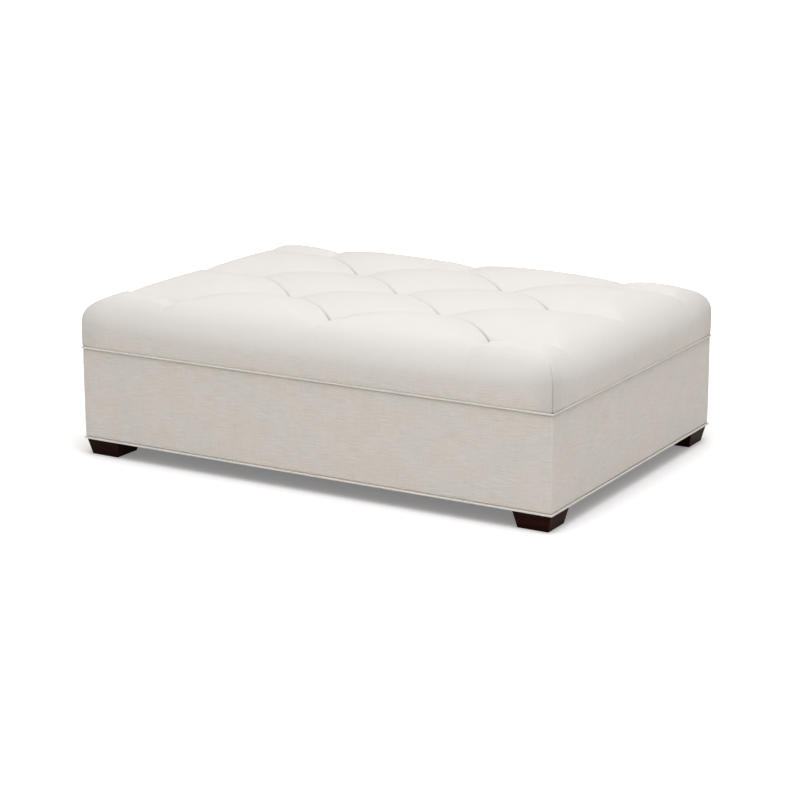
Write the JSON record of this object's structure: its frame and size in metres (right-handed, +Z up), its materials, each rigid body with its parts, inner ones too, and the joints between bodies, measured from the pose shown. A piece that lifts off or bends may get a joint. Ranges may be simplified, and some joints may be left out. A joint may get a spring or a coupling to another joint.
{
  "type": "ottoman coffee table",
  "caption": "Rectangular upholstered box ottoman for use as a coffee table, with a deep diamond-tufted top, welted edges and short tapered block feet.",
  "frame": {"origin": "on the floor, under the middle of the box", "axes": "+X along the length to the right, +Y from the front to the back, +Z up"},
  "size_m": [1.321, 0.914, 0.432],
  "materials": {
    "cover_linen": "ivory linen-look weave with slubs, matt",
    "welt_linen": "the cover's cloth cut on the bias round a cord",
    "welt_cord": "twisted paper cord",
    "batting": "white polyester wadding",
    "foam": "open-cell polyurethane foam, cut",
    "plywood": "birch plywood, sawn",
    "pine": "planed pine",
    "stained_wood": "hardwood, dark espresso stain under satin lacquer",
    "zinc_steel": "zinc-plated steel",
    "twine": "waxed tufting twine",
    "washer_plastic": "moulded nylon",
    "dust_cloth": "black non-woven dust cloth"
  },
  "bodies": {
    "root": {"back_apron": "plywood", "bracket_screws": "zinc_steel", "corner_block_back_left": "pine", "corner_block_back_right": "pine", "corner_block_front_left": "pine", "corner_block_front_right": "pine", "cross_rail_left": "pine", "cross_rail_right": "pine", "cushion_batting": "batting", "cushion_foam": "foam", "deck_board": "plywood", "deck_brackets": "zinc_steel", "dust_cover": "dust_cloth", "foot_back_left": "stained_wood", "foot_back_right": "stained_wood", "foot_bolts": "zinc_steel", "foot_front_left": "stained_wood", "foot_front_right": "stained_wood", "foot_nuts": "zinc_steel", "foot_plate_back_left": "plywood", "foot_plate_back_right": "plywood", "foot_plate_front_left": "plywood", "foot_plate_front_right": "plywood", "frame_screws": "zinc_steel", "front_apron": "plywood", "left_apron": "plywood", "lower_welt": "welt_linen", "lower_welt_cord": "welt_cord", "right_apron": "plywood", "side_batting": "batting", "side_cover_back": "cover_linen", "side_cover_front": "cover_linen", "side_cover_left": "cover_linen", "side_cover_right": "cover_linen", "stretcher_left": "pine", "stretcher_right": "pine", "tuft_twines": "twine", "tuft_washers": "washer_plastic", "tufted_cover": "cover_linen", "upper_welt": "welt_linen", "upper_welt_cord": "welt_cord"}
  },
  "joints": []
}
